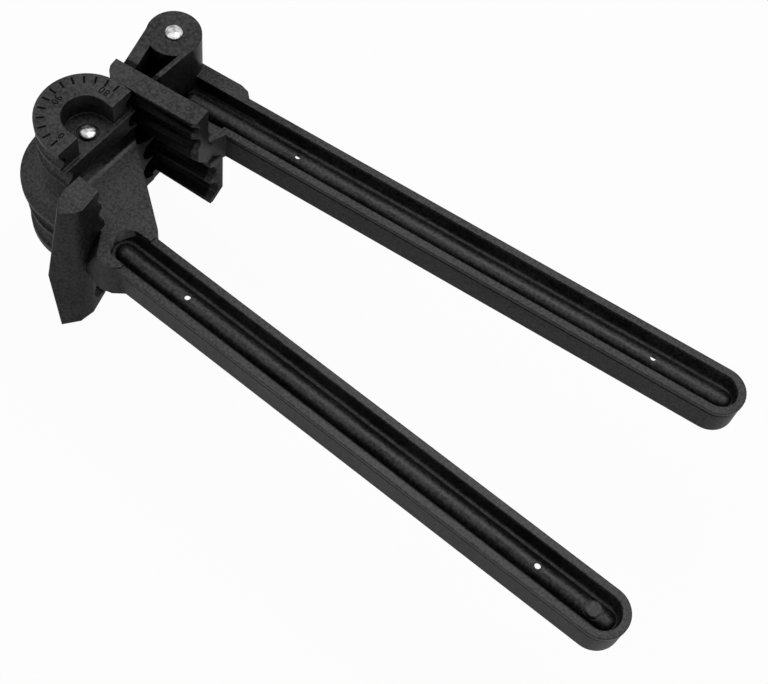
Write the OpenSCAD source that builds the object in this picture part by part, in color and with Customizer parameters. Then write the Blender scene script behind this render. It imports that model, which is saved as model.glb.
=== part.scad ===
// Four-size lever tube bender: a handle that carries the stacked former and the tube
// hook, a lever that carries the grooved shoe, and a link underneath that joins their
// pivots. The origin is on the former's axis at the link's underside, +X runs along the
// fixed handle and +Z is up. The lever stands at the end of a half-turn bend.

/* [Tubes] */
// Outside diameter of the smallest tube, top groove
tube_a = 6; // [5:0.1:6.4]
// Outside diameter of the second tube
tube_b = 8; // [7:0.1:8.4]
// Outside diameter of the third tube
tube_c = 10; // [9:0.1:10.4]
// Outside diameter of the largest tube, bottom groove
tube_d = 12; // [11:0.1:12.4]
// How much wider a groove is than its tube
tube_play = 0.2; // [0.1:0.05:0.4]

/* [Former] */
// Radius of the degree scale, which is the bend radius of the two small grooves
upper_r = 19.3; // [19:0.1:19.6]
// Bend radius of the two large grooves
lower_r = 26.6; // [26:0.1:27]
// Radius of the rim above the two large grooves
rim_r = 27.8; // [27.4:0.1:28.2]
// Thickness of the degree scale plate
scale_t = 3.3; // [3:0.1:4]
// Thickness of the thin flanges between grooves
flange_t = 1.5; // [1.2:0.1:1.8]
// Thickness of the rim above the two large grooves
rim_t = 2.4; // [2:0.1:3]
// Thickness of the base flange
base_t = 3.8; // [3:0.1:4.5]
// Height of the flared stretch between the two pairs of grooves
flare_h = 16; // [14.5:0.1:17]
// Radius of the flare's hollow
flare_r = 11.8; // [9.5:0.1:12.4]
// Straight run of the grooves past the half circle
former_run = 6.5; // [6:0.1:8]
// Straight run of the degree scale past the half circle
scale_run = 4.7; // [4:0.1:5.5]
// Radius of the well round the rivet head
well_r = 9.2; // [8:0.1:10]
// Depth of the well below the scale's face
well_d = 10.8; // [10:0.1:11.5]
// Depth of the degree marks
mark_d = 0.4; // [0.2:0.1:0.8]
// Width of the degree marks
mark_w = 0.6; // [0.3:0.1:0.8]
// Length of the degree marks
mark_l = 3; // [2:0.1:4]
// Gap from the scale's rim to the marks
mark_gap = 1.3; // [0.8:0.1:2]
// Radius of the fillet from the former's end down to the web
root_r = 4.5; // [3.5:0.1:6]
// Outer radius of the hollow under the large grooves
core_r = 17; // [15:0.1:17.5]
// Wall of the tube round the former's rivet
core_wall = 3.6; // [3:0.1:5]

/* [Handles] */
// Width of a handle
handle_w = 19.8; // [19:0.1:20.5]
// Height of a handle
handle_h = 14.9; // [13:0.1:15.4]
// Width of the rims along the open top
rim_w = 3; // [2.4:0.1:3.6]
// Height of the lip above the parting step
lip_h = 2.6; // [1.5:0.1:4]
// Depth of the parting step under the lip
lip_step = 0.25; // [0.1:0.05:0.4]
// Depth of the trough below the rims
trough_d = 7; // [6:0.1:7.6]
// Radius of the rounded ridge along the trough
ridge_r = 4; // [3:0.1:4.6]
// Depth of the ridge's crest below the rims
crest_d = 3.5; // [2.6:0.1:4]
// Radius of the flat disc on the ridge near the fixed handle's tip
disc_r = 3.1; // [2:0.1:3.6]
// Distance from the fixed handle's tip to the disc
disc_from_tip = 13; // [11.5:0.5:16]
// Thickness of the walls seen from below
under_wall = 2; // [1.6:0.1:2.6]
// Wall of the hollow arch under the ridge
arch_wall = 1.1; // [0.9:0.1:1.6]
// Distance from the former's axis to the fixed handle's first cross rib
fixed_rib_x = 65.2; // [60:0.1:69]
// Distance along the lever to its first cross rib
lever_rib_x = 58.8; // [56:0.1:62]
// Spacing of the cross ribs underneath
rib_pitch = 21.2; // [20.6:0.1:22]
// Thickness of the cross ribs
rib_t = 1.6; // [1.2:0.1:2]
// Diameter of the small holes through the ridge
pin_hole_d = 2.4; // [1.6:0.1:2.6]
// Distance from the former's axis to the fixed handle's tip
fixed_tip_x = 266.4; // [240:1:290]
// Distance along the lever from the former's axis to its tip
lever_tip_x = 260.1; // [240:1:290]
// Sideways place of the fixed handle's middle line
fixed_y = 21.6; // [21:0.1:22.5]
// Sideways place of the lever's middle line
lever_y = 45.9; // [45.5:0.1:47]
// Where the fixed handle's trough begins
trough_x = 32.3; // [31:0.1:34]
// Distance from the tip to the outer small hole
hole_from_tip = 37; // [32:0.1:41]
// Distance between the fixed handle's small holes
fixed_hole_span = 161; // [156:0.1:163]
// Distance between the lever's small holes
lever_hole_span = 157.8; // [153:0.1:160]

/* [Hook and web] */
// Gap from the small grooves' bend line to the hook's face
hook_gap = 1.4; // [1:0.1:1.8]
// Nearest face of the hook along the fixed handle
hook_x = 16.4; // [15.8:0.1:17]
// Length of the hook's top along the handle
hook_l = 10.8; // [10:0.1:11.5]
// Depth of the hook's top, away from the tube
hook_depth = 16.4; // [15.5:0.1:17]
// Drop from the handles' rims to the hook's shoulder
hook_drop = 13.6; // [12:0.1:15]
// Rise of the web above the handles' rims
web_rise = 1; // [0.5:0.1:1.5]
// Thickness of the web's skin
web_skin = 3.4; // [2.5:0.1:4]

/* [Lever head] */
// Angle between the lever and the fixed handle
lever_angle = 7.1; // [6:0.1:8]
// Gap from the former to the shoe's faces
shoe_gap = 0.5; // [0.4:0.1:0.8]
// Width of the shoe's top bar
bar_w = 8.6; // [8:0.1:9.2]
// Drop of the shoe's top below the scale's face
bar_drop = 1.2; // [0.8:0.1:2]
// Length of the shoe on the near side of the lever's pivot
shoe_back = 8.8; // [8.2:0.1:9.2]
// Length of the shoe's top bar past the lever's pivot
shoe_front = 33; // [31:0.1:34]
// Further length of the shoe's lower half
shoe_extra = 2.2; // [1.5:0.1:3.4]
// Thickness of the shoe's lower wall
shoe_wall = 7; // [6.4:0.1:7.4]
// Size of the relief at the shoe's near corner
shoe_relief = 4.8; // [4.6:0.1:5.4]
// Height of the shoe's foot above the former's base
shoe_foot = 1.2; // [0.8:0.1:1.6]
// Rise of the shoe's underside towards the near end
shoe_rise = 3.2; // [2.4:0.1:4]
// Radius of the lever's pivot boss
boss_r = 10.9; // [10.4:0.1:11.2]
// Drop of the boss below the scale's face
boss_drop = 5.5; // [5:0.1:7]
// Thickness of the arm's thick wall
arm_wall = 5.1; // [4.5:0.1:5.5]
// Thickness of the arm's thin ribs
arm_rib = 2; // [1.5:0.1:2.5]
// Width of the lever's shoulder beyond the rim
shoulder_w = 3.7; // [3:0.1:4.2]
// Length of the shoulder past the pivot
shoulder_l = 31.5; // [29:0.5:34]

/* [Pivots and link] */
// Distance between the two pivots
pivot_span = 53.6; // [53.5:0.1:54.2]
// Angle of the link from the fixed handle
link_angle = 94.8; // [93.5:0.1:96]
// Shank diameter of both rivets
rivet_d = 5; // [4:0.1:5.4]
// Head diameter of the former's rivet
former_head_d = 6.4; // [6.2:0.1:7.4]
// Head diameter of the lever's rivet
lever_head_d = 6.9; // [6.4:0.1:8.2]
// Height of the rivet heads
head_h = 1.5; // [1:0.1:2]
// Running clearance round the rivet shanks
shank_play = 0.05; // [0.03:0.01:0.1]
// Width of the link
link_w = 12.4; // [12:0.1:14]
// Thickness of the link
link_t = 5; // [4.5:0.1:6]
// Diameter of the washers under the formed ends
washer_d = 9; // [8:0.1:9.6]
// Thickness of the washers
washer_t = 1; // [0.8:0.1:1.2]
// Diameter of the formed rivet ends
formed_d = 7.2; // [6.6:0.1:7.8]
// Height of the formed rivet ends
formed_h = 1.5; // [1:0.1:1.7]
// Play between flat faces that slide on each other
face_play = 0.3; // [0.2:0.05:0.5]

/* [Hidden] */
$fn = 96;
// overrun of every cut past the face that it opens
over = 1;
// radial play of the link's holes and the washers on the shanks
seat_play = 0.02;

// heights of the former above its own base
groove_d_r = (tube_d + tube_play) / 2;
groove_c_r = (tube_c + tube_play) / 2;
groove_b_r = (tube_b + tube_play) / 2;
groove_a_r = (tube_a + tube_play) / 2;
groove_d_z = base_t + groove_d_r;
flange_3_z = base_t + 2 * groove_d_r;
groove_c_z = flange_3_z + flange_t + groove_c_r;
rim_z = flange_3_z + flange_t + 2 * groove_c_r;
flare_z = rim_z + rim_t;
flange_2_z = flare_z + flare_h;
groove_b_z = flange_2_z + flange_t + groove_b_r;
flange_1_z = flange_2_z + flange_t + 2 * groove_b_r;
groove_a_z = flange_1_z + flange_t + groove_a_r;
scale_z = flange_1_z + flange_t + 2 * groove_a_r;
top_z = scale_z + scale_t;
floor_z = top_z - well_d;
neck_r = rim_r - flare_r;

// heights of the handles and heads above the same base
handle_z = rim_z + 0.2 * flange_t;
rims_z = handle_z + handle_h;
web_z = rims_z + web_rise;
bar_z = top_z - bar_drop;
boss_z = top_z - boss_drop;
trough_z = rims_z - trough_d;
roof_z = trough_z - under_wall;

// the former's base stands clear of the link's upper face
base_z = link_t + face_play;

// hook
hook_y = upper_r + hook_gap;
hook_low_y = lower_r + hook_gap;
hook_top_z = top_z - 0.2 * bar_drop;
shoulder_z = rims_z - hook_drop;
slab = 0.2 * rim_w;

// lever head, in the lever's own turned frame
pivot_x = pivot_span * cos(link_angle - lever_angle);
pivot_y = pivot_span * sin(link_angle - lever_angle);
shoe_y = upper_r + shoe_gap;
shoe_low_y = rim_r + shoe_gap;
shoe_x0 = pivot_x - shoe_back;
shoe_x1 = pivot_x + shoe_front;
shoe_x2 = shoe_x1 + shoe_extra;
lever_trough_x = pivot_x + 0.88 * boss_r;

// Corner of the hook, from shares of its top's length and depth
function hook_pt(u, v) = [hook_x + u * hook_l, -hook_y - v * hook_depth];

// Point beside the fixed trough's end, from shares of the handle's width
function collar_pt(u, v) = [trough_x + u * handle_w, -fixed_y + v * handle_w];

// Straight bar with a round far end, seen from above
module tongue(x0, x1, w) {
    translate([x0, -w / 2]) square([x1 - x0 - w / 2, w]);
    translate([x1 - w / 2, 0]) circle(d = w);
}

// Slot with two round ends, seen from above
module slot_plan(x0, x1, w) {
    translate([x0 + w / 2, -w / 2]) square([x1 - x0 - w, w]);
    translate([x0 + w / 2, 0]) circle(d = w);
    translate([x1 - w / 2, 0]) circle(d = w);
}

// Outer body of a handle, whose lip overhangs the wall by the parting step
module handle_body(x0, tip) {
    translate([0, 0, handle_z])
        linear_extrude(handle_h - lip_h) tongue(x0, tip - lip_step, handle_w - 2 * lip_step);
    translate([0, 0, rims_z - lip_h]) linear_extrude(lip_h) tongue(x0, tip, handle_w);
}

// Open trough of a handle
module handle_trough(x0, tip) {
    translate([0, 0, trough_z])
        linear_extrude(trough_d + web_rise + over) slot_plan(x0, tip - rim_w, handle_w - 2 * rim_w);
}

// Rounded ridge along the trough, domed at the head's end
module handle_ridge(x0, tip) {
    x1 = x0 + 1.45 * ridge_r;
    x2 = tip - rim_w - ridge_r;
    z = rims_z - crest_d - ridge_r;
    intersection() {
        union() {
            translate([x1, 0, z]) rotate([0, 90, 0]) cylinder(r = ridge_r, h = x2 - x1);
            translate([x1, 0, z]) sphere(r = ridge_r);
        }
        translate([x0, -handle_w / 2, trough_z - under_wall / 2]) cube([tip - x0, handle_w, trough_d]);
    }
}

// Ribbed hollow under a handle
module handle_hollow(x0, tip, first) {
    bays = floor((tip - 2 * rib_t - first) / rib_pitch);
    difference() {
        translate([0, 0, handle_z - over])
            linear_extrude(roof_z - handle_z + over)
                slot_plan(x0, tip - under_wall, handle_w - 2 * under_wall);
        for (i = [0 : bays])
            translate([first + i * rib_pitch - rib_t / 2, -handle_w / 2, handle_z + 0.35 * handle_h])
                cube([rib_t, handle_w, handle_h]);
    }
}

// Hollow arch under the ridge
module handle_arch(x0, tip) {
    r = ridge_r - arch_wall;
    x2 = tip - 2 * rim_w - 2 * ridge_r;
    translate([x0, 0, rims_z - crest_d - ridge_r]) rotate([0, 90, 0]) cylinder(r = r, h = x2 - x0);
    translate([x0, -r, roof_z - over]) cube([x2 - x0, 2 * r, rims_z - crest_d - ridge_r - roof_z + over]);
}

// Small holes through the ridge
module handle_holes(tip, span) {
    for (d = [hole_from_tip, hole_from_tip + span])
        translate([tip - d, 0, handle_z - over]) cylinder(d = pin_hole_d, h = handle_h + over, $fn = 32);
}

// Section of the former's solid, from its axis outwards
module former_section() {
    square([lower_r, flare_z]);
    translate([0, flare_z - 0.9 * rim_t]) square([rim_r, 0.9 * rim_t]);
    translate([0, flare_z]) difference() {
        square([rim_r, flare_r]);
        translate([rim_r, flare_r]) circle(r = flare_r);
    }
    translate([0, flare_z]) square([neck_r, flare_h]);
    translate([0, flange_2_z]) square([upper_r, top_z - flange_2_z]);
}

// Half-round grooves, in the same section
module groove_section() {
    translate([upper_r, groove_a_z]) circle(r = groove_a_r);
    translate([upper_r, groove_b_z]) circle(r = groove_b_r);
    translate([lower_r, groove_c_z]) circle(r = groove_c_r);
    translate([lower_r, groove_d_z]) circle(r = groove_d_r);
}

// Half-round stack with straight runs on both sides
module former_stack() {
    difference() {
        union() {
            rotate([0, 0, 90]) rotate_extrude(angle = 180) difference() {
                former_section();
                groove_section();
            }
            for (side = [0, 1]) mirror([0, side, 0])
                rotate([90, 0, 90]) linear_extrude(former_run) difference() {
                    former_section();
                    groove_section();
                }
        }
        translate([scale_run, -upper_r - over, floor_z])
            cube([former_run, 2 * (upper_r + over), well_d + over]);
        translate([0, 0, floor_z]) cylinder(r = well_r, h = well_d + over);
        translate([0, -well_r, floor_z]) cube([former_run + over, 2 * well_r, well_d + over]);
    }
}

// Hollow under the former, round the tube for its rivet
module former_core() {
    x1 = former_run - under_wall;
    difference() {
        union() {
            translate([0, 0, -over]) cylinder(r = core_r, h = rim_z - rim_t + over);
            translate([0, 0, -over]) cylinder(r = upper_r - groove_b_r - under_wall, h = floor_z - 1.5 * under_wall + over);
        }
        translate([0, 0, -2 * over]) cylinder(d = rivet_d + 2 * core_wall, h = top_z);
        translate([x1, -lower_r, -2 * over]) cube([lower_r, 2 * lower_r, top_z]);
        for (a = [0 : 45 : 135]) rotate([0, 0, a])
            translate([-lower_r, -rib_t / 2, -2 * over]) cube([2 * lower_r, rib_t, top_z]);
    }
}

// Marks every 15 degrees round the scale
module degree_marks() {
    for (i = [0 : 12]) rotate([0, 0, 90 + 15 * i])
        translate([upper_r - mark_gap - mark_l, -mark_w / 2, top_z - mark_d])
            cube([mark_l, mark_w, mark_d + over]);
}

// Outline of the web's flat top, from the former to the collar and the hook
module web_outline() {
    polygon([[0, -neck_r], [0, 1.12 * neck_r], [0.4 * neck_r, 1.09 * neck_r],
             collar_pt(0.53, 0.63), collar_pt(0.6, 0.5), collar_pt(0.6, 0), collar_pt(0.02, -0.31),
             hook_pt(1, 0.1), hook_pt(0, 0.1), hook_pt(0, 0), [former_run, -neck_r]]);
}

// Web between the former, the hook and the fixed handle, with the collar round the trough's end
module web_plate() {
    translate([0, 0, handle_z]) linear_extrude(web_z - handle_z) web_outline();
    hull() {
        translate([0, 0, web_z - slab]) linear_extrude(slab)
            polygon([hook_pt(0.9, 0.05), collar_pt(-0.02, -0.34), collar_pt(0.06, -0.56),
                     collar_pt(0.33, -0.63), collar_pt(0.56, -0.43), collar_pt(0.56, 0)]);
        translate([0, 0, handle_z]) linear_extrude(slab)
            polygon([hook_pt(0.9, 0.2), hook_pt(0.95, 0.8), collar_pt(0.24, -0.72),
                     collar_pt(0.48, -0.65), collar_pt(0.68, -0.49), collar_pt(0.68, 0)]);
    }
}

// Fillet from the former's end face down to the web, kept within the web's outline
module web_root() {
    intersection() {
        translate([former_run, 1.1 * neck_r, web_z]) rotate([90, 0, 0]) linear_extrude(2.05 * neck_r) difference() {
            translate([-rim_w, -rim_w]) square(root_r + rim_w);
            translate([root_r, root_r]) circle(r = root_r);
        }
        translate([0, 0, web_z - 2 * rim_w]) linear_extrude(root_r + 2 * rim_w) web_outline();
    }
}

// Hollow under the web
module web_core() {
    translate([0, 0, handle_z - over]) linear_extrude(web_z - web_skin - handle_z + over)
        polygon([[former_run + rim_w, -neck_r + rim_w], [former_run + rim_w, 0.62 * neck_r],
                 collar_pt(-0.1, 0.72), collar_pt(-0.1, 0.15), hook_pt(0.8, -0.3), hook_pt(0.2, -0.3)]);
}

// One storey of the hook's plan, drawn as a thin slab
module hook_slab(z, points) {
    translate([0, 0, z]) linear_extrude(slab) polygon(points);
}

// Hook that holds the tube back beside each groove
module tube_hook() {
    mid = [hook_pt(0, 0), hook_pt(1.04, 0), hook_pt(1.13, 0.63), hook_pt(0.95, 1.06),
           hook_pt(0.41, 1.42), hook_pt(0.29, 1.48), hook_pt(0, 0.6)];
    difference() {
        union() {
            hull() {
                hook_slab(hook_top_z - slab, [hook_pt(0, 0), hook_pt(0.87, 0), hook_pt(1, 0.6), hook_pt(0.85, 0.79),
                                              hook_pt(0.59, 0.985), hook_pt(0.43, 1), hook_pt(0.08, 0.72), hook_pt(0, 0.46)]);
                hook_slab(shoulder_z, mid);
            }
            hull() {
                hook_slab(shoulder_z, mid);
                hook_slab(0.1 * base_t, [hook_pt(0.15, 0.14), hook_pt(1, 0.14), hook_pt(1.31, 0.88), hook_pt(1.23, 1.26),
                                         hook_pt(0.81, 1.63), hook_pt(0.5, 1.4), hook_pt(0.15, 0.8)]);
            }
        }
        translate([0, -hook_low_y, 0.8 * base_t]) cube([fixed_tip_x, lower_r, handle_z - 0.8 * base_t]);
        translate([0, -upper_r, groove_a_z]) rotate([0, 90, 0]) cylinder(r = groove_a_r, h = fixed_tip_x);
        translate([0, -upper_r, groove_b_z]) rotate([0, 90, 0]) cylinder(r = groove_b_r, h = fixed_tip_x);
        translate([0, -lower_r, groove_c_z]) rotate([0, 90, 0]) cylinder(r = groove_c_r, h = fixed_tip_x);
        translate([0, -lower_r, groove_d_z]) rotate([0, 90, 0]) cylinder(r = groove_d_r, h = fixed_tip_x);
    }
}

// Fixed moulding: former, web, hook and handle
module former_handle() {
    color([0.09, 0.09, 0.09]) translate([0, 0, base_z]) difference() {
        union() {
            difference() {
                union() {
                    former_stack();
                    web_plate();
                    web_root();
                    translate([0, -fixed_y, 0]) handle_body(trough_x, fixed_tip_x);
                }
                translate([0, -fixed_y, 0]) {
                    handle_trough(trough_x, fixed_tip_x);
                    handle_hollow(trough_x + rim_w, fixed_tip_x, fixed_rib_x);
                }
                web_core();
                former_core();
            }
            tube_hook();
            translate([0, -fixed_y, 0]) {
                handle_ridge(trough_x, fixed_tip_x);
                translate([fixed_tip_x - disc_from_tip, 0, trough_z - over])
                    cylinder(r = disc_r, h = trough_d - crest_d + over - mark_d);
            }
        }
        translate([0, -fixed_y, 0]) {
            translate([fixed_tip_x - disc_from_tip, 0, rims_z - crest_d - mark_d])
                cylinder(r = disc_r + mark_d, h = crest_d + mark_d + over);
            handle_arch(trough_x + 2 * rim_w + ridge_r, fixed_tip_x);
            handle_holes(fixed_tip_x, fixed_hole_span);
        }
        degree_marks();
        translate([0, 0, -over]) cylinder(d = rivet_d + 2 * shank_play, h = top_z);
    }
}

// Shoe's section across the lever
module shoe_section() {
    low = shoe_foot + 0.75 * shoe_wall;
    difference() {
        polygon([[shoe_y, bar_z], [shoe_y, flange_2_z - flare_h / 4], [shoe_low_y, flare_z],
                 [shoe_low_y, shoe_foot], [shoe_low_y + 0.2 * shoe_wall, shoe_foot],
                 [shoe_low_y + shoe_wall, low], [shoe_low_y + shoe_wall, trough_z],
                 [shoe_y + bar_w, trough_z + flare_h / 2], [shoe_y + bar_w, bar_z]]);
        groove_section();
    }
}

// Grooved shoe, its top bar shorter than its lower half and its lower end cut aslant
module shoe_block() {
    y2 = shoe_low_y + shoe_wall;
    difference() {
        translate([shoe_x0, 0, 0]) rotate([90, 0, 90]) linear_extrude(shoe_x2 - shoe_x0) shoe_section();
        translate([shoe_x1, 0, flare_z]) cube([shoe_extra + over, y2 + over, top_z]);
        translate([0, 0, -over]) linear_extrude(flare_z + 2 * over)
            polygon([[shoe_x2 - 0.8 * shoe_extra, shoe_low_y - shoe_wall], [shoe_x2 - 0.8 * shoe_extra, shoe_low_y - over],
                     [shoe_x2 + 0.1 * shoe_extra, y2 + 2 * over], [shoe_x2 + rim_w, y2 + 2 * over],
                     [shoe_x2 + rim_w, shoe_low_y - shoe_wall]]);
        translate([shoe_x1, shoe_y, flare_z]) linear_extrude(top_z)
            polygon([[-0.3 * shoe_relief, -over], [-0.3 * shoe_relief, 0], [0, 0.3 * shoe_relief],
                     [over, 0.3 * shoe_relief], [over, -over]]);
        translate([shoe_x0, y2 + over, 0]) rotate([90, 0, 0]) linear_extrude(2 * shoe_wall)
            polygon([[-over, -over], [-over, shoe_foot + shoe_rise], [shoe_x2 - shoe_x0 + over, shoe_foot - 0.1 * shoe_rise],
                     [shoe_x2 - shoe_x0 + over, -over]]);
        translate([shoe_x0, shoe_y, -over]) linear_extrude(top_z + over)
            polygon([[-over, -over], [shoe_relief, -over], [shoe_relief, 0], [0.72 * shoe_relief, 0.18 * shoe_relief],
                     [0.23 * shoe_relief, 0.52 * shoe_relief], [0, shoe_relief], [-over, shoe_relief]]);
        translate([shoe_x0, shoe_low_y, -over]) linear_extrude(flare_z + over)
            polygon([[-over, -over], [shoe_relief, -over], [shoe_relief, 0], [0, 0.8 * shoe_relief],
                     [-over, 0.8 * shoe_relief]]);
    }
}

// Thick wall, thin rib and boss that carry the lever's pivot
module lever_arm() {
    y0 = shoe_y + bar_w / 2;
    y1 = shoe_low_y + shoe_wall / 2;
    left = shoe_x0 + 0.25 * arm_wall;
    right = pivot_x + 0.98 * boss_r;
    foot = right - 2.2 * arm_rib;
    boss_left = pivot_x - 0.98 * boss_r;
    linear_extrude(boss_z) {
        polygon([[left, y1], [boss_left, pivot_y], [boss_left + arm_wall, pivot_y], [left + arm_wall, y1]]);
        translate([pivot_x, pivot_y]) circle(r = boss_r);
    }
    translate([0, 0, trough_z]) linear_extrude(boss_z - trough_z)
        polygon([[left, y0], [left, y1 + over], [left + arm_wall, y1 + over], [left + arm_wall, y0]]);
    translate([0, 0, trough_z - rib_t]) linear_extrude(boss_z - trough_z + rib_t)
        polygon([[foot - arm_rib, y0], [right - arm_rib, pivot_y], [right, pivot_y], [foot, y0]]);
    translate([pivot_x + 1.35 * boss_r, y0, trough_z - rib_t]) rotate([90, 0, 90]) linear_extrude(0.8 * arm_rib)
        polygon([[0, 0], [1.4 * boss_r, 0], [0.4 * boss_r, bar_z - trough_z - 0.7 * boss_r],
                 [0, bar_z - trough_z - 0.7 * boss_r]]);
}

// Floor and far wall that carry the arm over to the lever's handle
module lever_shoulder() {
    y1 = lever_y + handle_w / 2;
    y2 = y1 + shoulder_w;
    y3 = y1 - 0.5 * rim_w;
    x0 = shoe_x0 + shoe_relief;
    x1 = lever_trough_x + rim_w;
    x2 = shoe_x2 - 0.9 * shoe_extra;
    x3 = pivot_x + shoulder_l;
    near = lever_y - handle_w / 2;
    translate([0, 0, handle_z]) linear_extrude(trough_z - handle_z)
        polygon([[x0, shoe_low_y + shoe_wall / 2], [x0, pivot_y], [pivot_x, y3], [x1, y3], [x1, lever_y],
                 [x2, lever_y], [x2, shoe_low_y + shoe_wall / 2]]);
    translate([0, 0, handle_z]) linear_extrude(handle_h)
        polygon([[pivot_x, y3], [pivot_x, y2], [x3 - shoulder_w, y2], [x3, y2 - 0.3 * shoulder_w],
                 [x3 + shoulder_w, y3]]);
    translate([0, 0, handle_z]) linear_extrude(handle_h)
        polygon([[shoe_x1 - 0.75 * boss_r, near + 0.3 * rim_w], [shoe_x1 + rim_w, near + 0.7 * rim_w],
                 [shoe_x1 + rim_w, near + 0.2 * rim_w], [shoe_x1 - 0.3 * rim_w, shoe_low_y + 0.15 * shoe_wall]]);
}

// Moving moulding: shoe, pivot boss and lever
module shoe_lever() {
    color([0.1, 0.1, 0.1]) translate([0, 0, base_z]) rotate([0, 0, lever_angle]) difference() {
        union() {
            shoe_block();
            lever_shoulder();
            lever_arm();
            difference() {
                translate([0, lever_y, 0]) handle_body(lever_trough_x, lever_tip_x);
                translate([0, lever_y, 0]) handle_trough(lever_trough_x - boss_r, lever_tip_x);
                translate([0, lever_y, 0]) handle_hollow(shoe_x2 - 0.5 * rim_w, lever_tip_x, lever_rib_x);
                translate([lever_trough_x - over, lever_y - handle_w / 2 - over, trough_z])
                    cube([shoe_x1 - lever_trough_x + over, handle_w / 2, trough_d + over]);
            }
            translate([0, lever_y, 0]) handle_ridge(lever_trough_x - 0.5 * rim_w, lever_tip_x);
        }
        translate([0, lever_y, 0]) {
            handle_arch(shoe_x2 + rim_w, lever_tip_x);
            handle_holes(lever_tip_x, lever_hole_span);
        }
        translate([pivot_x, pivot_y, -over]) cylinder(d = rivet_d + 2 * shank_play, h = top_z + 2 * over);
    }
}

// Link underneath, hollowed round each pivot for the washer and the formed end
module pivot_link() {
    pocket = washer_t + formed_h;
    color([0.08, 0.08, 0.08]) rotate([0, 0, link_angle]) difference() {
        linear_extrude(link_t) slot_plan(-link_w / 2, pivot_span + link_w / 2, link_w);
        for (x = [0, pivot_span]) translate([x, 0, -over]) {
            cylinder(d = rivet_d + 2 * seat_play, h = link_t + 2 * over);
            cylinder(d = washer_d + 2 * face_play, h = pocket + over);
        }
    }
}

// Rivet standing in the link, with a low head on top and a formed end below
module rivet(head_d, seat_z) {
    rotate_extrude() difference() {
        square([formed_d / 2, formed_h]);
        translate([formed_d / 2, 0]) circle(r = 0.4 * formed_h);
    }
    translate([0, 0, formed_h]) cylinder(d = rivet_d, h = seat_z - formed_h);
    translate([0, 0, seat_z]) rotate_extrude() intersection() {
        square([head_d / 2, head_h]);
        translate([0, head_h - 0.9 * head_d]) circle(r = 0.9 * head_d);
    }
}

// Washer between the link and a formed rivet end
module washer() {
    color([0.6, 0.6, 0.6]) translate([0, 0, formed_h]) linear_extrude(washer_t) difference() {
        circle(d = washer_d);
        circle(d = rivet_d + 2 * seat_play);
    }
}

// Rivet on the former's axis, its head in the well
module former_rivet() {
    color([0.8, 0.8, 0.78]) rivet(former_head_d, base_z + floor_z + shank_play);
}

// Rivet through the lever's boss
module lever_rivet() {
    color([0.8, 0.8, 0.78]) rotate([0, 0, link_angle]) translate([pivot_span, 0, 0])
        rivet(lever_head_d, base_z + boss_z + shank_play);
}

// Washer on the former's rivet
module former_washer() {
    washer();
}

// Washer on the lever's rivet
module lever_washer() {
    rotate([0, 0, link_angle]) translate([pivot_span, 0, 0]) washer();
}

former_handle();
shoe_lever();
pivot_link();
former_rivet();
lever_rivet();
former_washer();
lever_washer();
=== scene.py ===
# Looks of a hand lever tube bender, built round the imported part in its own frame, in metres
import math
import bmesh
import bpy
import numpy as np
from mathutils import Matrix, Vector


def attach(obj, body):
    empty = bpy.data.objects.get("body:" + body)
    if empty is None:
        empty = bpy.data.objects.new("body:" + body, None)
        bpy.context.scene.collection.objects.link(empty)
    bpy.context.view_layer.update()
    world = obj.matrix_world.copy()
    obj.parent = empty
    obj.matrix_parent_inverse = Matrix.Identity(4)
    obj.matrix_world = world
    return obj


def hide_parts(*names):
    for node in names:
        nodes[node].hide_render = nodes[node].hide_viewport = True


mm = 0.001
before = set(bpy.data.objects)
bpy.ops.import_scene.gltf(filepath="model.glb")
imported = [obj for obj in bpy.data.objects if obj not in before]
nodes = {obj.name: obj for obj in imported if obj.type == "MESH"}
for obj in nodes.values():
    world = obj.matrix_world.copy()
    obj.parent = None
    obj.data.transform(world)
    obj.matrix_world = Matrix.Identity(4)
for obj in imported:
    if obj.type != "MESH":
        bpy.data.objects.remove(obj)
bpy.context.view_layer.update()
scene = bpy.context.scene
print("stage: frame loaded")

# where the part's main forms lie, as in its source, in millimetres
part = {
    "dialTop": 72.1,  # top face of the degree scale
    "wellFloor": 61.3,
    "bossTop": 66.6,
    "rimTop": 48.2,  # top of both handles' rims
    "rimWidth": 3.0,
    "handleHalf": 9.9,  # half the handles' width
    "troughHalf": 6.9,  # half the trough's width
    "troughDepth": 7.0,
    "crestDepth": 3.5,  # from the rims down to the ridge's crest
    "ridgeRadius": 4.0,
    "holeRadius": 1.2,
    "fixedY": -21.6,
    "fixedTip": 266.4,
    "leverY": 45.9,  # in the lever's own turned frame, as its tip
    "leverTip": 260.1,
    "leverAngle": 7.1,
    "pivotSpan": 53.6,
    "linkAngle": 94.8,
}
leverTurn = Matrix.Rotation(math.radians(part["leverAngle"]), 4, "Z")
straight = Matrix.Identity(4)


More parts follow.
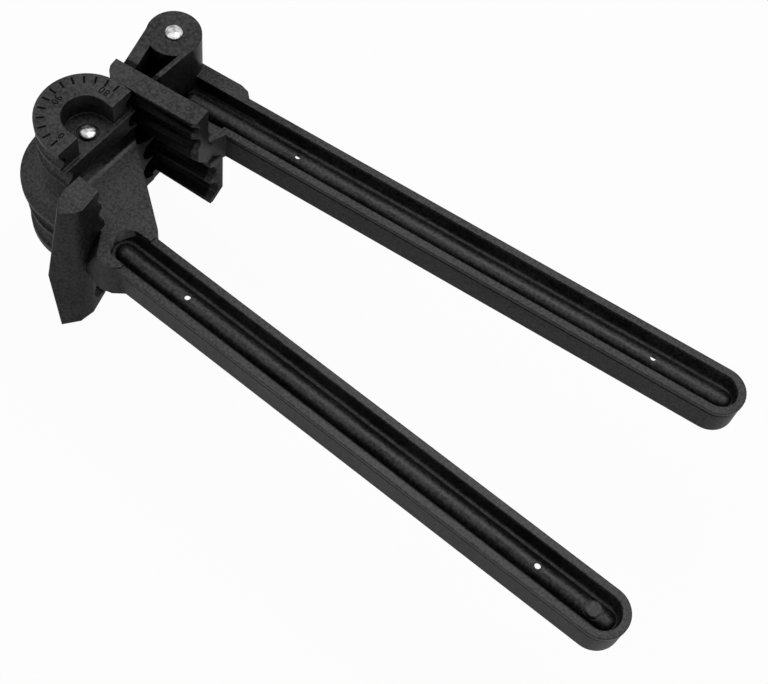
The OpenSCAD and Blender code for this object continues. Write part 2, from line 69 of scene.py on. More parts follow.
class Shading:  # adds a material's nodes and joins them
    def __init__(self, name):
        self.material = bpy.data.materials.new(name)
        self.material.use_nodes = True
        self.tree = self.material.node_tree
        self.tree.nodes.clear()

    def add(self, kind, inputs=None, **settings):
        node = self.tree.nodes.new(kind)
        for key, value in settings.items():
            setattr(node, key, value)
        for key, value in (inputs or {}).items():
            if isinstance(value, bpy.types.NodeSocket):
                self.tree.links.new(value, node.inputs[key])
            else:
                node.inputs[key].default_value = value
        return node

    def sum(self, operation, a, b=0.0, c=0.0):
        return self.add("ShaderNodeMath", {0: a, 1: b, 2: c}, operation=operation).outputs[0]

    def span(self, value, low, high, toLow=0.0, toHigh=1.0):
        limits = {"Value": value, "From Min": low, "From Max": high, "To Min": toLow, "To Max": toHigh}
        return self.add("ShaderNodeMapRange", limits).outputs["Result"]

    def blend(self, factor, a, b):
        node = self.add("ShaderNodeMix", data_type="RGBA")
        for index, value in ((0, factor), (6, a), (7, b)):
            if isinstance(value, bpy.types.NodeSocket):
                self.tree.links.new(value, node.inputs[index])
            else:
                node.inputs[index].default_value = value if index == 0 else (*value, 1.0)
        return node.outputs[2]

    def noise(self, place, scale, detail=3.0, roughness=0.6):
        settings = {"Vector": place, "Scale": scale, "Detail": detail, "Roughness": roughness}
        return self.add("ShaderNodeTexNoise", settings).outputs[0]

    def finish(self, surface):
        self.add("ShaderNodeOutputMaterial", {"Surface": surface.outputs[0]})
        return self.material


# the finish of the three nylon mouldings, in metres where it is a length
nylonLook = {
    "base": (0.0022, 0.0021, 0.0023),
    "pale": (0.0125, 0.0122, 0.0126),
    "edge": (0.024, 0.024, 0.025),  # paler rounded edges: painted highlight
    # painted shade, used in the hollows and under the shoe
    "shadeDark": (0.0006, 0.0006, 0.0006),
    "cloud": (48.0, 4.0, 0.6),  # each noise: scale, detail, roughness
    "mottle": (850.0, 3.0, 0.65),
    "grain": (2900.0, 2.0, 0.5),
    "bumpDepth": 0.00011,
    "edgeRadius": 0.0007,
    "cavityReach": 0.038,
    "sinkPitch": 0.0212,
    "sinkHalf": 0.0007,
    "firstSinkFixed": 0.0652,
    "firstSinkLever": 0.0588,
    "cloudSpan": (0.34, 0.68, 0.2, 0.9),  # each span: from low and high, to low and high
    "mottleSpan": (0.42, 0.62),
    "bendSpan": (0.98, 0.78),
    "edgeLightSpan": (0.36, 0.60, 0.15, 0.8),
    "hollowShadeSpan": (0.36, 0.04),
    "shineSpan": (0.40, 0.60, 0.20, 0.46),
    # shine cut where little sky is seen: painted shade
    "skySpan": (0.0, 0.44, 0.16, 1.0),
    "roughSpan": (0.36, 0.64, 0.34, 0.56),
    "wallSpan": (0.90, 0.97),
    "shineShares": (0.65, 0.35),  # mottle, cloud
    "roughShares": (0.6, 0.4),  # cloud, mottle
    "bumpShares": (0.7, 0.4, 1.6),  # mottle, grain, sink line
}

# painted shade under the shoe: a box in the lever's own turned frame where colour and shine fall off
shoeShadeLook = {"x": 0.0335, "y": 0.0338, "z": 0.0700, "soft": 0.0009, "share": 0.8}


# Black glass-filled nylon. Colour: base, moved to pale by a slow cloud times a fine mottle, then to the
# paler edge colour where a rounded normal leaves the flat one (a painted highlight on the edges, patchy by
# the mottle), then darkened where little sky is seen (painted shade in the hollows). Shine: a share of
# mottle and cloud, times the sky's share, so that it is cut in the hollows as painted shade. Where a shoe
# shade box is given, colour and shine fall off inside it: painted shade under the shoe. Roughness: a share
# of cloud and mottle. Bump: mottle and grain, less a shallow sink line over each inner rib, which shows on
# the walls alone.
def nylonMaterial(name, look, turn, firstSink, shoeShade=None):
    n = Shading(name)
    coords = n.add("ShaderNodeTexCoord").outputs
    place = coords["Object"]
    cloud = n.noise(place, *look["cloud"])
    mottle = n.noise(place, *look["mottle"])
    grain = n.noise(place, *look["grain"])
    rounded = n.add("ShaderNodeBevel", {"Radius": look["edgeRadius"]}, samples=6).outputs[0]
    flat = n.add("ShaderNodeNewGeometry").outputs["Normal"]
    agree = n.add("ShaderNodeVectorMath", {0: rounded, 1: flat}, operation="DOT_PRODUCT").outputs["Value"]
    sky = n.add("ShaderNodeAmbientOcclusion", {"Distance": look["cavityReach"]}, samples=10).outputs["AO"]
    back = (0.0, 0.0, -turn)
    shift = (-firstSink, 0.0, 0.0)
    along = n.add("ShaderNodeMapping", {"Vector": place, "Rotation": back, "Location": shift}).outputs[0]
    facing = n.add("ShaderNodeMapping", {"Vector": coords["Normal"], "Rotation": back}).outputs[0]
    sideways = n.sum("ABSOLUTE", n.add("ShaderNodeSeparateXYZ", {0: facing}).outputs["Y"])
    walls = n.span(sideways, *look["wallSpan"])
    spot = n.add("ShaderNodeSeparateXYZ", {0: along}).outputs
    nearest = n.sum("PINGPONG", spot["X"], look["sinkPitch"] / 2)
    sink = n.sum("MULTIPLY", n.span(nearest, look["sinkHalf"], 0.0), walls)
    paleShare = n.sum("MULTIPLY", n.span(cloud, *look["cloudSpan"]), n.span(mottle, *look["mottleSpan"]))
    # painted highlight: paler where the rounded normal leaves the flat one, patchy by the mottle
    edge = n.sum("MULTIPLY", n.span(agree, *look["bendSpan"]), n.span(mottle, *look["edgeLightSpan"]))
    colour = n.blend(paleShare, look["base"], look["pale"])
    colour = n.blend(edge, colour, look["edge"])
    # painted shade: darker where little sky is seen
    colour = n.blend(n.span(sky, *look["hollowShadeSpan"]), colour, look["shadeDark"])
    mottleShare, cloudShare = look["shineShares"]
    mixed = n.sum("MULTIPLY_ADD", mottle, mottleShare, n.sum("MULTIPLY", cloud, cloudShare))
    shine = n.span(mixed, *look["shineSpan"])
    shine = n.sum("MULTIPLY", shine, n.span(sky, *look["skySpan"]))
    # painted shade under the shoe: colour goes dark and shine falls off inside the box
    if shoeShade:
        shoeShadeShare = shoeShade["share"]
        for axis, limit in (("X", shoeShade["x"] - firstSink), ("Y", shoeShade["y"]), ("Z", shoeShade["z"])):
            shoeShadeShare = n.sum("MULTIPLY", n.span(spot[axis], limit, limit - shoeShade["soft"]), shoeShadeShare)
        colour = n.blend(shoeShadeShare, colour, look["shadeDark"])
        shine = n.sum("MULTIPLY", shine, n.span(shoeShadeShare, 0.0, 1.0, 1.0, 0.0))
    cloudShare, mottleShare = look["roughShares"]
    mixed = n.sum("MULTIPLY_ADD", cloud, cloudShare, n.sum("MULTIPLY", mottle, mottleShare))
    rough = n.span(mixed, *look["roughSpan"])
    mottleShare, grainShare, sinkShare = look["bumpShares"]
    grainy = n.sum("MULTIPLY_ADD", mottle, mottleShare, n.sum("MULTIPLY", grain, grainShare))
    height = n.sum("SUBTRACT", grainy, n.sum("MULTIPLY", sink, sinkShare))
    relief = {"Strength": 0.6, "Distance": look["bumpDepth"], "Height": height, "Normal": rounded}
    bump = n.add("ShaderNodeBump", relief).outputs[0]
    settings = {"Base Color": colour, "Roughness": rough, "Specular IOR Level": shine, "Normal": bump}
    return n.finish(n.add("ShaderNodeBsdfPrincipled", {**settings, "IOR": 1.5}))


steelLook = {
    "base": (0.60, 0.60, 0.60),
    "dull": (0.28, 0.28, 0.28),
    "dullSpan": (0.44, 0.62),
    "roughSpan": (0.35, 0.65, 0.20, 0.44),
    "blotch": (480.0, 3.0, 0.55),
    "scratch": (2600.0, 2.0, 0.7),
    "scratchShare": 0.25,
    "bumpDepth": 0.00005,
}


# Zinc-plated steel. Colour and roughness: two values each, mixed by a blotchy noise. Bump: the same
# noise with a fine scratchy one.
def steelMaterial(name, look):
    n = Shading(name)
    place = n.add("ShaderNodeTexCoord").outputs["Object"]
    blotch = n.noise(place, *look["blotch"])
    scratch = n.noise(place, *look["scratch"])
    height = n.sum("MULTIPLY_ADD", scratch, look["scratchShare"], blotch)
    relief = {"Strength": 0.7, "Distance": look["bumpDepth"], "Height": height}
    bump = n.add("ShaderNodeBump", relief).outputs[0]
    colour = n.blend(n.span(blotch, *look["dullSpan"]), look["base"], look["dull"])
    rough = n.span(blotch, *look["roughSpan"])
    settings = {"Base Color": colour, "Metallic": 1.0, "Roughness": rough, "Normal": bump}
    return n.finish(n.add("ShaderNodeBsdfPrincipled", settings))


grooveShadeLook = {
    "dark": (0.0010, 0.0010, 0.0010), "worn": (0.0045, 0.0045, 0.0045), "wornSpan": (0.45, 0.65),
    "scale": 900.0, "rough": 0.85, "shine": 0.12, "bumpDepth": 0.00003,
}


# Painted shade inside the marks and grooves: a dark colour standing in for the shade in them. Colour: dark
# to worn by a fine noise, on a rough surface that hardly shines. Bump: the same noise.
def grooveShadeMaterial(name, look):
    n = Shading(name)
    fleck = n.noise(n.add("ShaderNodeTexCoord").outputs["Object"], look["scale"])
    colour = n.blend(n.span(fleck, *look["wornSpan"]), look["dark"], look["worn"])
    relief = {"Strength": 0.4, "Distance": look["bumpDepth"], "Height": fleck}
    bump = n.add("ShaderNodeBump", relief).outputs[0]
    dull = {"Roughness": look["rough"], "Specular IOR Level": look["shine"]}
    return n.finish(n.add("ShaderNodeBsdfPrincipled", {"Base Color": colour, "Normal": bump, **dull}))


fixedNylon = nylonMaterial("fixedNylon", nylonLook, 0.0, nylonLook["firstSinkFixed"])
leverAngle = math.radians(part["leverAngle"])
leverNylon = nylonMaterial("leverNylon", nylonLook, leverAngle, nylonLook["firstSinkLever"], shoeShadeLook)
rivetSteel = steelMaterial("rivetSteel", steelLook)
grooveShade = grooveShadeMaterial("grooveShade", grooveShadeLook)
print("stage: materials made")


mergeLook = {"near": 0.002, "closest": 0.0005, "flat": 0.3}


# A copy of a CAD mesh with its corners merged and its flat faces joined
def mergedCopy(node, name):
    mesh = nodes[node].data.copy()
    work = bmesh.new()
    work.from_mesh(mesh)
    bmesh.ops.remove_doubles(work, verts=work.verts, dist=mergeLook["near"] * mm)
    flat = math.radians(mergeLook["flat"])
    bmesh.ops.dissolve_limit(work, angle_limit=flat, verts=work.verts, edges=work.edges, delimit={"NORMAL"})
    work.to_mesh(mesh)
    work.free()
    mesh.name = name
    mesh.materials.clear()
    piece = bpy.data.objects.new(name, mesh)
    scene.collection.objects.link(piece)
    return piece


# A closed mesh from corner places and faces, with its normals turned outwards
def closedPiece(name, places, faces, material):
    mesh = bpy.data.meshes.new(name)
    mesh.from_pydata(np.asarray(places).tolist(), [], [list(face) for face in faces])
    work = bmesh.new()
    work.from_mesh(mesh)
    bmesh.ops.remove_doubles(work, verts=work.verts, dist=mergeLook["closest"] * mm)
    bmesh.ops.recalc_face_normals(work, faces=work.faces)
    work.to_mesh(mesh)
    work.free()
    mesh.materials.append(material)
    piece = bpy.data.objects.new(name, mesh)
    scene.collection.objects.link(piece)
    return piece


# Makes a piece's modifiers part of its mesh, and drops the tools that they used
def settle(piece, tools=()):
    solved = bpy.data.meshes.new_from_object(piece.evaluated_get(bpy.context.evaluated_depsgraph_get()))
    piece.modifiers.clear()
    piece.data = solved
    for tool in tools:
        bpy.data.objects.remove(tool)


# Cuts closed tools out of a piece; the cut faces keep the tool's own material
def carve(piece, tools):
    for tool in tools:
        cut = piece.modifiers.new("cut", "BOOLEAN")
        cut.operation = "DIFFERENCE"
        cut.solver = "EXACT"
        cut.material_mode = "TRANSFER"
        cut.object = tool
    settle(piece, tools)


softLook = {"width": 0.35, "small": 0.1, "disc": 0.15, "least": 1.2, "angle": 32.0, "segments": 3}


# Rounds the long sharp edges of a piece and shades its faces by their size
def softEdges(piece, look, width=None):
    mesh = piece.data
    work = bmesh.new()
    work.from_mesh(mesh)
    weights = work.edges.layers.float.new("bevel_weight_edge")
    for edge in work.edges:
        sharp = len(edge.link_faces) == 2 and edge.calc_face_angle() > math.radians(look["angle"])
        edge[weights] = 1.0 if sharp and edge.calc_length() > look["least"] * mm else 0.0
    work.to_mesh(mesh)
    work.free()
    bevel = piece.modifiers.new("softEdges", "BEVEL")
    bevel.width = (width or look["width"]) * mm
    bevel.segments = look["segments"]
    bevel.limit_method = "WEIGHT"
    bevel.use_clamp_overlap = True
    shadeBySize(piece)


# A softened copy of a CAD node in the first of its materials
def softCopy(node, name, materials, width=None):
    piece = mergedCopy(node, name)
    for material in materials:
        piece.data.materials.append(material)
    piece.data.polygons.foreach_set("material_index", np.zeros(len(piece.data.polygons), dtype=np.int32))
    softEdges(piece, softLook, width)
    return piece


# Smooth shading in which large faces keep their own direction
def shadeBySize(piece, angle=40.0):
    mesh = piece.data
    mesh.polygons.foreach_set("use_smooth", np.ones(len(mesh.polygons), dtype=bool))
    mesh.set_sharp_from_angle(angle=math.radians(angle))
    weighted = piece.modifiers.new("faceWeights", "WEIGHTED_NORMAL")
    weighted.mode = "FACE_AREA"
    weighted.weight = 100
    weighted.keep_sharp = True


# A round bar standing upright, used as a cutting tool or a disc
def roundBar(name, x, y, low, high, radius, material, sides=48):
    turn = np.linspace(0, 2 * math.pi, sides, endpoint=False)
    ring = np.stack([x + radius * np.cos(turn), y + radius * np.sin(turn)], axis=1)
    places = np.concatenate([np.column_stack([ring, np.full(sides, z)]) for z in (low, high)]) * mm
    around = np.arange(sides)
    faces = [(i, (i + 1) % sides, sides + (i + 1) % sides, sides + i) for i in around]
    faces += [tuple(around[::-1]), tuple(around + sides)]
    return closedPiece(name, places, faces, material)


numeralLook = {
    "height": 3.0, "width": 1.75, "stroke": 0.42, "gap": 0.5, "depth": 0.35,
    "labels": [("0", -0.37, -12.36), ("90", -12.62, -1.87), ("180", -1.24, 12.64)],
}


# The middle lines of a figure of a width and height: arcs as angle ranges of an ellipse, and straight
# strokes
def figureLines(figure, width, height):
    def arc(centre, radii, start, end, count=20):
        turn = np.radians(np.linspace(start, end, count))
        return np.stack([centre[0] + radii[0] * np.cos(turn), centre[1] + radii[1] * np.sin(turn)], axis=1)

    w, h = width / 2, height / 2
    if figure == "0":
        return [arc((0, 0), (w, h), 0, 360, 40)]
    if figure == "1":
        return [np.array([(-0.55 * w, 0.55 * h), (0.1 * w, h), (0.1 * w, -h)])]
    if figure == "8":
        upper = arc((0, 0.5 * h), (0.85 * w, 0.48 * h), 0, 360, 32)
        return [upper, arc((0, -0.48 * h), (w, 0.5 * h), 0, 360, 32)]
    return [arc((0, 0.42 * h), (w, 0.56 * h), 0, 360, 32), arc((0, 0), (w, h), 0, -110, 20)]


# An upright band along a line: its two sides lie half a stroke to the left and right of the line's points
def strokeBand(name, line, stroke, low, high, material):
    closed = np.allclose(line[0], line[-1])
    points = line[:-1] if closed else line
    ahead = np.roll(points, -1, axis=0) - points
    behind = points - np.roll(points, 1, axis=0)
    if not closed:
        ahead[-1], behind[0] = behind[-1], ahead[0]
    ahead = ahead / np.linalg.norm(ahead, axis=1, keepdims=True)
    behind = behind / np.linalg.norm(behind, axis=1, keepdims=True)
    way = ahead + behind
    way /= np.linalg.norm(way, axis=1, keepdims=True)
    side = np.stack([-way[:, 1], way[:, 0]], axis=1) * stroke / 2
    count = len(points)
    around = ((-1, low), (1, low), (1, high), (-1, high))
    rows = [np.column_stack([points + s * side, np.full(count, z)]) for s, z in around]
    i = np.arange(count if closed else count - 1)
    j = (i + 1) % count
    strips = []
    for a, b in ((0, 1), (1, 2), (2, 3), (3, 0)):
        strips.append(np.stack([a * count + i, a * count + j, b * count + j, b * count + i], axis=1))
    faces = np.stack(strips, axis=1).reshape(-1, 4).tolist()
    if not closed:
        faces += [tuple(a * count for a in range(4)), tuple(a * count + count - 1 for a in (3, 2, 1, 0))]
    return closedPiece(name, np.concatenate(rows) * mm, faces, material)


# Cutting tools for the scale's numbers; each number's top points to the scale's middle
def numeralTools(look):
    tools = []
    low, high = part["dialTop"] - look["depth"], part["dialTop"] + look["depth"]
    for label, x, y in look["labels"]:
        up = -np.array([x, y]) / math.hypot(x, y)
        right = np.array([up[1], -up[0]])
        step = look["width"] + look["gap"]
        width, height = look["width"] - look["stroke"], look["height"] - look["stroke"]
        for index, figure in enumerate(label):
            shift = (index - (len(label) - 1) / 2) * step
            for line in figureLines(figure, width, height):
                line = np.array([x, y]) + np.outer(line[:, 0] + shift, right) + np.outer(line[:, 1], up)
                tools.append(strokeBand("stroke", line, look["stroke"], low, high, grooveShade))
    return tools


tickLook = {
    "inner": 14.85, "outer": 18.1, "width": 0.85, "depth": 0.45, "past": 0.3,
    "first": 90, "last": 270, "step": 15,
}


# Cutting tools for the scale's marks, one at each step of its angle
def tickTools(look):
    tools = []
    low, high = part["dialTop"] - look["depth"], part["dialTop"] + look["past"]
    for turn in np.radians(np.arange(look["first"], look["last"] + 1, look["step"])):
        way = np.array([math.cos(turn), math.sin(turn)])
        line = np.outer([look["inner"], look["outer"]], way)
        tools.append(strokeBand("tick", line, look["width"], low, high, grooveShade))
    return tools


linerLook = {
    "lift": 0.05, "valleyBlend": 1.7, "wallBlend": 1.3, "hideBelow": 0.15, "thinRidge": 0.5, "thick": 1.0,
    "wallFoot": 4.9, "wallTop": 0.8, "wallPast": 0.4, "wallPower": 2.4, "loop": 360, "rings": 34,
    "sharp": 60.0, "fixedStart": 38.05, "leverStart": 16.0, "leverRise": (39.5, 47.0),
}


# Smooth larger of two heights, rounded over a blend width
def softMax(a, b, blend):
    reach = np.maximum(blend - np.abs(a - b), 0.0) / blend
    return np.maximum(a, b) + reach * reach * blend / 4


# Smooth lining of a trough. Its two parameters are the place round a closed loop and the distance d
# from the middle line. The height is the smooth largest of a round ridge, a flat floor and a wall that
# rises with a power of d. The ridge runs a little further than the middle line. Where a rise is given,
# floor and wall fade in between its two places.
def troughLiner(name, start, tip, middleY, rise, look, material):
    loop, rings = look["loop"], look["rings"]
    half = part["troughHalf"]
    ridgeEnd = tip - part["rimWidth"] - part["ridgeRadius"]
    length = tip - part["handleHalf"] - start
    around = np.linspace(0, 1, loop, endpoint=False)
    bend = math.pi * half
    walk = around * (2 * length + 2 * bend)
    straightA = np.clip(walk, 0, length)
    turnA = np.clip(walk - length, 0, bend) / half
    straightB = np.clip(walk - length - bend, 0, length)
    turnB = np.clip(walk - 2 * length - bend, 0, bend) / half
    spineX = start + straightA - straightB
    angle = -math.pi / 2 + turnA + turnB
    d = np.concatenate([np.linspace(0, half, rings), [half + look["wallPast"]]])
    x = spineX[None, :] + d[:, None] * np.cos(angle)[None, :]
    y = middleY + d[:, None] * np.sin(angle)[None, :]
    reach = np.minimum(d, half)[:, None]
    aside = np.hypot(np.maximum(x - ridgeEnd, 0) + np.maximum(start - x, 0), y - middleY)

    def ridge(radius):
        return -part["crestDepth"] - part["ridgeRadius"] + np.sqrt(np.maximum(radius ** 2 - aside ** 2, 0.0))

    floor = -part["troughDepth"] + look["lift"]
    climb = np.maximum(reach - look["wallFoot"], 0) / (half - look["wallFoot"])
    wall = floor + (part["troughDepth"] - look["wallTop"]) * climb ** look["wallPower"]
    crest = ridge(part["ridgeRadius"] + look["lift"])
    smooth = softMax(softMax(crest, np.full_like(aside, floor), look["valleyBlend"]), wall, look["wallBlend"])
    hidden = np.maximum(crest, floor - look["hideBelow"])
    under = np.maximum(ridge(part["ridgeRadius"] - look["thinRidge"]), floor - look["thick"])
    share = np.ones_like(x) if rise is None else np.clip((x - rise[0]) / (rise[1] - rise[0]), 0, 1)
    share = share * share * (3 - 2 * share)
    top = part["rimTop"] + hidden + share * (smooth - hidden)
    low = part["rimTop"] + under
    places = np.concatenate([np.stack([x, y, z], axis=2).reshape(-1, 3) for z in (top, low)]) * mm
    i, j = np.meshgrid(np.arange(rings), np.arange(loop), indexing="ij")
    k = (j + 1) % loop
    here, ahead = i * loop, (i + 1) * loop
    upper = np.stack([here + j, ahead + j, ahead + k, here + k], axis=2).reshape(-1, 4)
    total = (rings + 1) * loop
    lower = upper[:, ::-1] + total
    j = np.arange(loop)
    k = (j + 1) % loop
    rim = rings * loop
    skirt = np.stack([rim + j, rim + j + total, rim + k + total, rim + k], axis=1)
    piece = closedPiece(name, places, np.concatenate([upper, lower, skirt]).tolist(), material)
    shadeBySize(piece, look["sharp"])
    return piece


rivetLook = {
    "shank": 2.5, "formed": 3.6, "formedHigh": 1.5, "cove": 0.6,
    "headHigh": 1.5, "edgeHigh": 0.6, "edgeIn": 0.15, "seatGap": 0.05, "dent": 0.055,
    "formerHead": 3.2, "leverHead": 3.45, "formerSeed": 0.7, "leverSeed": 2.3,
    "wobbles": ((0.02, 2), (0.012, 5)),  # each wave's share of the radius and its count round the head
    "dentWaves": (1.3, 1.5), "seedShift": 1.7, "fineWaves": (2.4, 1.9), "fineShare": 0.4,
    "domeSteps": 16, "coveSteps": 8, "sides": 96, "sharp": 50.0,
}


# A rivet: a profile carried round its axis. The head is a quarter ellipse over a short edge. Its radius
# wobbles by two sine waves of the angle, and dents made of crossing sine waves are pressed into it.
def rivetPiece(name, centre, headRadius, top, look, seed):
    sides = look["sides"]
    seat = top + look["seatGap"]
    rise = np.linspace(0, math.pi / 2, look["domeSteps"])
    arch = look["headHigh"] - look["edgeHigh"]
    dome = np.column_stack([headRadius * np.cos(rise), seat + look["edgeHigh"] + arch * np.sin(rise)])
    bend = np.linspace(0, math.pi / 2, look["coveSteps"])
    cove = np.column_stack([look["formed"] - look["cove"] * np.cos(bend), look["cove"] * np.sin(bend)])
    foot = [[0.0, 0.0], [look["formed"] - look["cove"], 0.0]]
    formed, formedHigh, shank, edgeIn = look["formed"], look["formedHigh"], look["shank"], look["edgeIn"]
    side = [[formed, look["cove"]], [formed, formedHigh], [shank, formedHigh]]
    edge = [[shank, seat], [headRadius - edgeIn, seat], [headRadius, seat + edgeIn]]
    profile = np.concatenate([foot, cove[1:-1], side, edge, dome[1:]])
    turn = np.linspace(0, 2 * math.pi, sides, endpoint=False)
    radius = np.repeat(profile[:, 0][:, None], sides, axis=1)
    z = np.repeat(profile[:, 1][:, None], sides, axis=1)
    head = z > seat + look["edgeHigh"] * 0.5
    wobble = np.ones(sides)
    for index, (share, waves) in enumerate(look["wobbles"]):
        wobble += share * np.sin(waves * turn + (index + 1) * seed)
    radius = np.where(head, radius * wobble[None, :], radius)
    x = radius * np.cos(turn)
    y = radius * np.sin(turn)
    (waveX, waveY), (fineX, fineY) = look["dentWaves"], look["fineWaves"]
    dents = np.sin(waveX * x + seed) * np.sin(waveY * y - look["seedShift"] * seed)
    dents += look["fineShare"] * np.sin(fineX * x - fineY * y + seed)
    z = np.where(head, z - look["dent"] * (1 + dents), z)
    places = np.stack([x + centre[0], y + centre[1], z], axis=2).reshape(-1, 3) * mm
    i, j = np.meshgrid(np.arange(len(profile) - 1), np.arange(sides), indexing="ij")
    k = (j + 1) % sides
    here, ahead = i * sides, (i + 1) * sides
    faces = np.stack([here + j, here + k, ahead + k, ahead + j], axis=2).reshape(-1, 4)
    places[-sides:] = places[-sides:].mean(axis=0)
    piece = closedPiece(name, places, faces.tolist(), rivetSteel)
    piece.data.polygons.foreach_set("use_smooth", np.ones(len(piece.data.polygons), dtype=bool))
    piece.data.set_sharp_from_angle(angle=math.radians(look["sharp"]))
    return piece


# Gives a finished piece its body and hides the CAD node that it stands for; the slot is not used
def place(piece, body, slot, node=None):
    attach(piece, body)
    if node:
        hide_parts(node)
    print("stage: piece", piece.name, len(piece.data.polygons))


partingLook = {
    "below": 2.0, "high": 1.1, "deep": 0.5, "stand": 0.25, "lift": 0.02,
    "fixedStart": 46.5, "leverStart": 39.5, "bendSteps": 40,
}


# Tool for the parting line under a handle's lip: a band from one side past the tip to the other. Its cut
# faces take painted shade, standing in for the shadow line under the lip
def partingTool(start, tip, middleY, turn, look):
    half = part["handleHalf"] - look["stand"]
    bend = np.linspace(-math.pi / 2, math.pi / 2, look["bendSteps"])
    arc = np.stack([tip - part["handleHalf"] + half * np.cos(bend), middleY + half * np.sin(bend)], axis=1)
    line = np.concatenate([[[start, middleY - half]], arc, [[start, middleY + half]]])
    high = part["rimTop"] - look["below"] + look["lift"]
    tool = strokeBand("parting", line, 2 * look["deep"], high - look["high"], high, grooveShade)
    tool.data.transform(turn)
    return tool


# the fixed moulding: numbers, marks, a ring round the rivet's head and the parting line are cut into it;
# the numbers, marks and parting line take painted shade on their cut faces
ringLook = {"radius": 4.3, "deep": 0.9, "past": 0.5}
former = softCopy("former_handle", "formerAndHandle", [fixedNylon, grooveShade])
settle(former)
ringLow, ringHigh = part["wellFloor"] - ringLook["deep"], part["wellFloor"] + ringLook["past"]
wellRing = roundBar("wellRing", 0, 0, ringLow, ringHigh, ringLook["radius"], fixedNylon)
fixedParting = partingTool(partingLook["fixedStart"], part["fixedTip"], part["fixedY"], straight, partingLook)
carve(former, [*numeralTools(numeralLook), *tickTools(tickLook), wellRing, fixedParting])
shadeBySize(former)
place(former, "fixed", "black_nylon", "former_handle")

# the moving moulding, with the same parting line and its painted shade
lever = softCopy("shoe_lever", "shoeAndLever", [leverNylon, grooveShade])
settle(lever)
partingStart = partingLook["leverStart"]
carve(lever, [partingTool(partingStart, part["leverTip"], part["leverY"], leverTurn, partingLook)])
shadeBySize(lever)
place(lever, "lever", "black_nylon", "shoe_lever")

link = softCopy("pivot_link", "pivotLink", [fixedNylon])
place(link, "link", "black_nylon", "pivot_link")

holeLook = {"fixed": [229.4, 68.4], "lever": [223.1, 65.3], "low": 30.0, "high": 60.0, "sides": 32}


# Tools for the vent holes through a lining
def holeTools(places, middleY, look, material):
    low, high, sides = look["low"], look["high"], look["sides"]
    return [roundBar("hole", x, middleY, low, high, part["holeRadius"], material, sides) for x in places]


# the fixed trough's lining, with a ring cut round the ejector disc; the ring's cut faces take painted shade
# for the gap round the disc
discLook = {"x": 253.4, "radius": 2.95, "ring": 3.5, "top": 3.62, "depth": 5.0, "foot": 6.0, "past": 60.0}
discX, fixedStart, fixedTip = discLook["x"], linerLook["fixedStart"], part["fixedTip"]
fixedY, rimTop = part["fixedY"], part["rimTop"]
fixedLiner = troughLiner("fixedTroughLining", fixedStart, fixedTip, fixedY, None, linerLook, fixedNylon)
tools = holeTools(holeLook["fixed"], fixedY, holeLook, fixedNylon)
ringFoot = rimTop - discLook["depth"]
tools.append(roundBar("ring", discX, fixedY, ringFoot, discLook["past"], discLook["ring"], grooveShade))
carve(fixedLiner, tools)
shadeBySize(fixedLiner, linerLook["sharp"])
place(fixedLiner, "fixed", "black_nylon")
discFoot, discTop = rimTop - discLook["foot"], rimTop - discLook["top"]
disc = roundBar("ejectorDisc", discX, fixedY, discFoot, discTop, discLook["radius"], fixedNylon)
softEdges(disc, softLook, softLook["disc"])
place(disc, "fixed", "black_nylon")

# the lever trough's lining, made straight and then turned
leverStart, leverTip, leverY = linerLook["leverStart"], part["leverTip"], part["leverY"]
rise = linerLook["leverRise"]
leverLiner = troughLiner("leverTroughLining", leverStart, leverTip, leverY, rise, linerLook, leverNylon)
carve(leverLiner, holeTools(holeLook["lever"], leverY, holeLook, leverNylon))
leverLiner.data.transform(leverTurn)
shadeBySize(leverLiner, linerLook["sharp"])
place(leverLiner, "lever", "black_nylon")

linkTurn = math.radians(part["linkAngle"])
leverPivot = (part["pivotSpan"] * math.cos(linkTurn), part["pivotSpan"] * math.sin(linkTurn))
head, seed = rivetLook["formerHead"], rivetLook["formerSeed"]
formerRivet = rivetPiece("formerRivet", (0.0, 0.0), head, part["wellFloor"], rivetLook, seed)
place(formerRivet, "link", "rivet_steel", "former_rivet")
head, seed = rivetLook["leverHead"], rivetLook["leverSeed"]
leverRivet = rivetPiece("leverRivet", leverPivot, head, part["bossTop"], rivetLook, seed)
place(leverRivet, "link", "rivet_steel", "lever_rivet")
for node, name in (("former_washer", "formerWasher"), ("lever_washer", "leverWasher")):
    washer = softCopy(node, name, [rivetSteel], softLook["small"])
    place(washer, "link", "rivet_steel", node)

floorLook = {"size": 6.0, "drop": 0.030, "colour": (0.62, 0.62, 0.62), "white": 0.955}


# Pale matt floor. To the camera it is mostly plain white, with a share of the matt one left for a faint
# shadow.
def floorMaterial(look):
    n = Shading("paleFloor")
    matt = n.add("ShaderNodeBsdfDiffuse", {"Color": (*look["colour"], 1.0)})
    glow = n.add("ShaderNodeEmission", {"Color": (1.0, 1.0, 1.0, 1.0), "Strength": 1.0})
    path = n.add("ShaderNodeLightPath").outputs
    seen = n.sum("MAXIMUM", path["Is Camera Ray"], path["Is Transmission Ray"])
    share = n.sum("MULTIPLY", seen, look["white"])
    return n.finish(n.add("ShaderNodeMixShader", {0: share, 1: matt.outputs[0], 2: glow.outputs[0]}))


half = floorLook["size"] / 2
floorMesh = bpy.data.meshes.new("floor")
corners = [(-half, -half), (half, -half), (half, half), (-half, half)]
floorMesh.from_pydata([(x, y, -floorLook["drop"]) for x, y in corners], [], [(0, 1, 2, 3)])
floor = bpy.data.objects.new("floor", floorMesh)
floor.data.materials.append(floorMaterial(floorLook))
scene.collection.objects.link(floor)

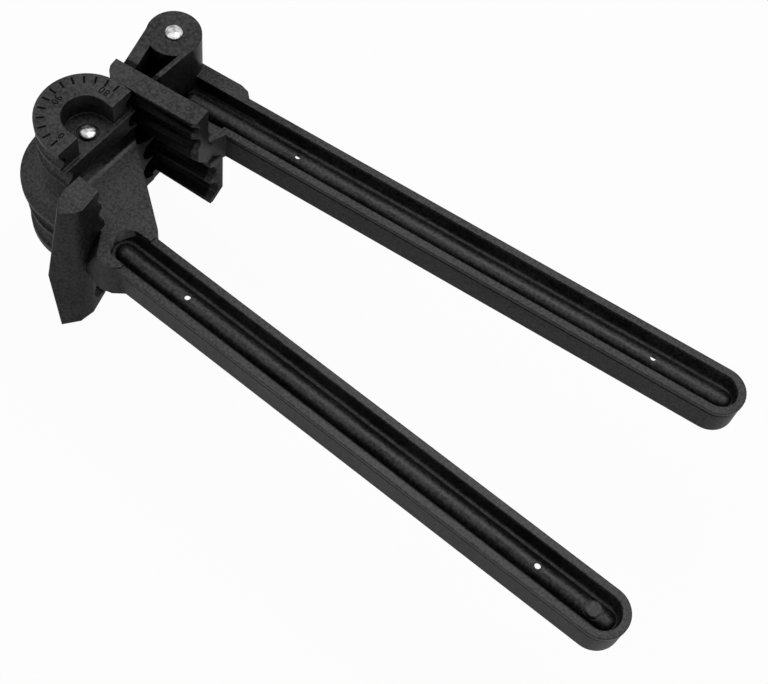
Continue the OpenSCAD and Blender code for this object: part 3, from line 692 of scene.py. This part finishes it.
worldLook = {"fill": 0.6, "seen": 1.0}
world = bpy.data.worlds.new("studio")
scene.world = world
world.use_nodes = True
tree = world.node_tree
tree.nodes.clear()
sky, seen = [tree.nodes.new("ShaderNodeBackground") for _ in range(2)]
for background, strength in ((sky, worldLook["fill"]), (seen, worldLook["seen"])):
    background.inputs["Color"].default_value = (1.0, 1.0, 1.0, 1.0)
    background.inputs["Strength"].default_value = strength
path = tree.nodes.new("ShaderNodeLightPath")
either, both = [tree.nodes.new("ShaderNodeMath") for _ in range(2)]
either.operation = both.operation = "MAXIMUM"
choose = tree.nodes.new("ShaderNodeMixShader")
worldOut = tree.nodes.new("ShaderNodeOutputWorld")
tree.links.new(path.outputs["Is Camera Ray"], either.inputs[0])
tree.links.new(path.outputs["Is Glossy Ray"], either.inputs[1])
tree.links.new(either.outputs[0], both.inputs[0])
tree.links.new(path.outputs["Is Transmission Ray"], both.inputs[1])
tree.links.new(both.outputs[0], choose.inputs[0])
tree.links.new(sky.outputs[0], choose.inputs[1])
tree.links.new(seen.outputs[0], choose.inputs[2])
tree.links.new(choose.outputs[0], worldOut.inputs[0])

lamps = [
    {"name": "keyLamp", "place": (0.05, 0.35, 1.1), "size": 0.5, "power": 5.0},
    {"name": "fillLamp", "place": (-0.5, -0.5, 0.8), "size": 0.8, "power": 1.5},
]
aim = Vector((0.10, 0.0, 0.04))
for lamp in lamps:
    light = bpy.data.lights.new(lamp["name"], "AREA")
    light.size = lamp["size"]
    light.energy = lamp["power"]
    holder = bpy.data.objects.new(lamp["name"], light)
    holder.location = lamp["place"]
    holder.rotation_euler = (aim - Vector(lamp["place"])).to_track_quat("-Z", "Y").to_euler()
    scene.collection.objects.link(holder)

# the camera's place and directions come from the degree marks and the straight handles in the photograph
cameraLook = {"lens": 71.08, "sensor": 36.0, "near": 0.01}
cameraPlace = Vector((254.17, -218.40, 541.1)) * mm
cameraRight = Vector((0.78253813, 0.6149713, 0.0971822))
cameraDown = Vector((0.58511468, -0.67306099, -0.45236015))
cameraAhead = Vector((-0.21277896, 0.4108518, -0.88652463))
camera = bpy.data.objects.new("camera", bpy.data.cameras.new("camera"))
camera.data.lens = cameraLook["lens"]
camera.data.sensor_width = cameraLook["sensor"]
camera.data.clip_start = cameraLook["near"]
cameraTurn = Matrix((cameraRight, -cameraDown, -cameraAhead)).transposed().to_4x4()
camera.matrix_world = Matrix.Translation(cameraPlace) @ cameraTurn
scene.collection.objects.link(camera)
scene.camera = camera
scene.view_settings.view_transform = "Standard"
print("stage: floor, world, lamps and camera made")
